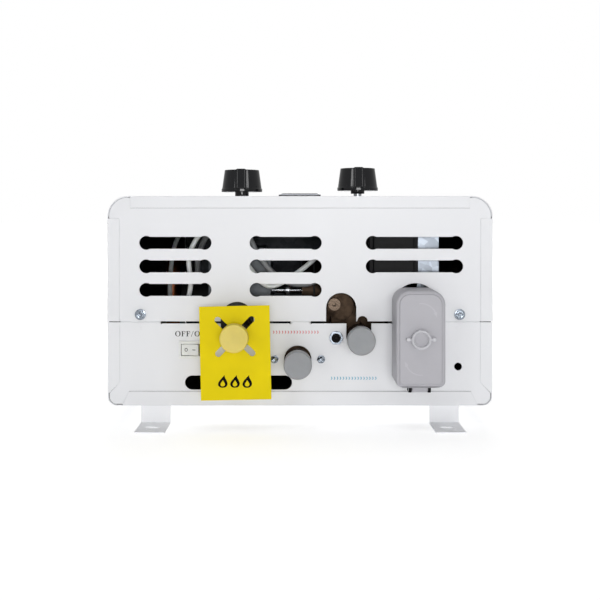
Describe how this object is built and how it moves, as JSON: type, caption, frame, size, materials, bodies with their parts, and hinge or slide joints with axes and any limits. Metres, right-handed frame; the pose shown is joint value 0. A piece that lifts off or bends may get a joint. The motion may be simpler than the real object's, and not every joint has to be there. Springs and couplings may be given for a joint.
{
  "type": "tankless gas water heater",
  "caption": "Wall-hung instantaneous gas water heater with a two-part white sheet casing, vented connection end, control knobs, capped pipe threads, hinged battery box and round flue collar.",
  "frame": {"origin": "centre of the four wall-fixing slots, on the wall plane", "axes": "+Z from the wall to the front face, +Y from the connection end to the flue end (up when hung), +X to the right seen from the front end in the picture"},
  "size_m": [0.34, 0.634, 0.2301],
  "materials": {
    "enamel": "white powder coat",
    "zinc_screws": "zinc plated",
    "knob_black": "glossy moulded",
    "shaft_steel": "turned",
    "bezel_chrome": "polished",
    "lens_dark": "tinted acrylic",
    "board": "circuit board",
    "switch_white": "moulded",
    "tag_card": "printed card",
    "cap_cream": "translucent moulded",
    "cap_grey": "moulded",
    "battery_grey": "moulded",
    "cell_jacket": "printed jacket",
    "brass": "cast and turned",
    "die_cast": "die cast",
    "coil_black": "moulded",
    "plunger_red": "moulded",
    "sheet_steel": "plain sheet",
    "ceramic": "unglazed",
    "rubber": "moulded",
    "copper": "plain copper",
    "lead_white": "silicone",
    "sleeve_grey": "sleeved",
    "lead_colours": "plain"
  },
  "bodies": {
    "root": {"front_cover": "enamel", "vent_panel": "enamel", "cover_top_panel": "enamel", "rear_pan": "enamel", "connection_panel": "enamel", "rear_top_panel": "enamel", "wall_brackets_lower": "enamel", "wall_brackets_upper": "enamel", "control_bracket": "enamel", "cover_screws": "zinc_screws", "outlet_screws": "zinc_screws", "dc_socket": "zinc_screws", "dc_socket_nut": "zinc_screws", "battery_contacts": "zinc_screws", "thermostat": "zinc_screws", "display_bezel": "bezel_chrome", "display_lens": "lens_dark", "display_module": "board", "switch_frame": "switch_white", "battery_box": "battery_grey", "battery_cells": "cell_jacket", "gas_inlet_fitting": "brass", "water_valve": "brass", "diaphragm_cover": "brass", "hot_outlet_fitting": "brass", "gas_valve": "die_cast", "gas_manifold": "die_cast", "gas_solenoid": "coil_black", "micro_switch": "coil_black", "control_box": "coil_black", "burner_tray": "sheet_steel", "burner_bars": "sheet_steel", "draught_hood": "sheet_steel", "flue_collar": "sheet_steel", "chassis_rails": "sheet_steel", "electrodes": "ceramic", "diaphragm": "rubber", "cold_riser_pipe": "copper", "hot_outlet_pipe": "copper", "exchanger_jacket": "copper", "exchanger_fins": "copper", "exchanger_tubes": "copper", "ignition_lead": "lead_white", "harness_sleeve": "sleeve_grey", "battery_leads": "lead_colours"},
    "gas_knob_body": {"gas_knob": "knob_black", "gas_knob_shaft": "shaft_steel"},
    "water_knob_body": {"water_knob": "knob_black", "water_knob_shaft": "shaft_steel"},
    "rocker": {"switch_rocker": "switch_white"},
    "battery_cover_body": {"battery_cover": "battery_grey"},
    "battery_latch_body": {"battery_latch": "battery_grey"},
    "gas_cap_body": {"gas_cap": "cap_cream"},
    "tag_body": {"gas_tag": "tag_card"},
    "hot_cap_body": {"hot_cap": "cap_grey"},
    "cold_cap_body": {"cold_cap": "cap_grey"},
    "drain_valve_body": {"drain_valve": "brass"},
    "push_rod_body": {"push_rod": "shaft_steel"},
    "plunger_body": {"micro_switch_plunger": "plunger_red"}
  },
  "joints": [
    {"name": "gas_knob_turn", "type": "hinge", "parent": "root", "child": "gas_knob_body", "pos_m": [-0.0558, -0.2, 0.2065], "axis": [0, 0, 1], "range_deg": [-90, 90]},
    {"name": "water_knob_turn", "type": "hinge", "parent": "root", "child": "water_knob_body", "pos_m": [0.0558, -0.2, 0.2077], "axis": [0, 0, 1], "range_deg": [-135, 135]},
    {"name": "rocker_tilt", "type": "hinge", "parent": "root", "child": "rocker", "pos_m": [-0.0966, -0.2727, 0.0658], "axis": [0, 0, 1], "range_deg": [0, 16]},
    {"name": "battery_cover_open", "type": "hinge", "parent": "root", "child": "battery_cover_body", "pos_m": [0.1022, -0.2995, 0.0356], "axis": [1, 0, 0], "range_deg": [0, 95]},
    {"name": "battery_latch_turn", "type": "hinge", "parent": "battery_cover_body", "child": "battery_latch_body", "pos_m": [0.1022, -0.309, 0.0798], "axis": [0, 1, 0], "range_deg": [0, 90]},
    {"name": "gas_cap_pull", "type": "slide", "parent": "root", "child": "gas_cap_body", "axis": [0, -1, 0], "range_m": [0, 0.08]},
    {"name": "tag_swing", "type": "hinge", "parent": "gas_cap_body", "child": "tag_body", "pos_m": [-0.0555, -0.3035, 0.0815], "axis": [0, 1, 0], "range_deg": [-14, 60]},
    {"name": "hot_cap_pull", "type": "slide", "parent": "root", "child": "hot_cap_body", "axis": [0, -1, 0], "range_m": [0, 0.08]},
    {"name": "cold_cap_pull", "type": "slide", "parent": "root", "child": "cold_cap_body", "axis": [0, -1, 0], "range_m": [0, 0.08]},
    {"name": "drain_valve_turn", "type": "hinge", "parent": "root", "child": "drain_valve_body", "pos_m": [0.0305, -0.265, 0.1054], "axis": [0, 1, 0], "range_deg": [0, 180]},
    {"name": "push_rod_slide", "type": "slide", "parent": "root", "child": "push_rod_body", "axis": [-1, 0, 0], "range_m": [0, 0.003], "stiffness_N_per_m": 200},
    {"name": "micro_switch_press", "type": "slide", "parent": "root", "child": "plunger_body", "axis": [-1, 0, 0], "range_m": [0, 0.003]}
  ],
  "couplings": [
    {"joint": "micro_switch_press", "follows": "push_rod_slide", "ratio": 1}
  ]
}
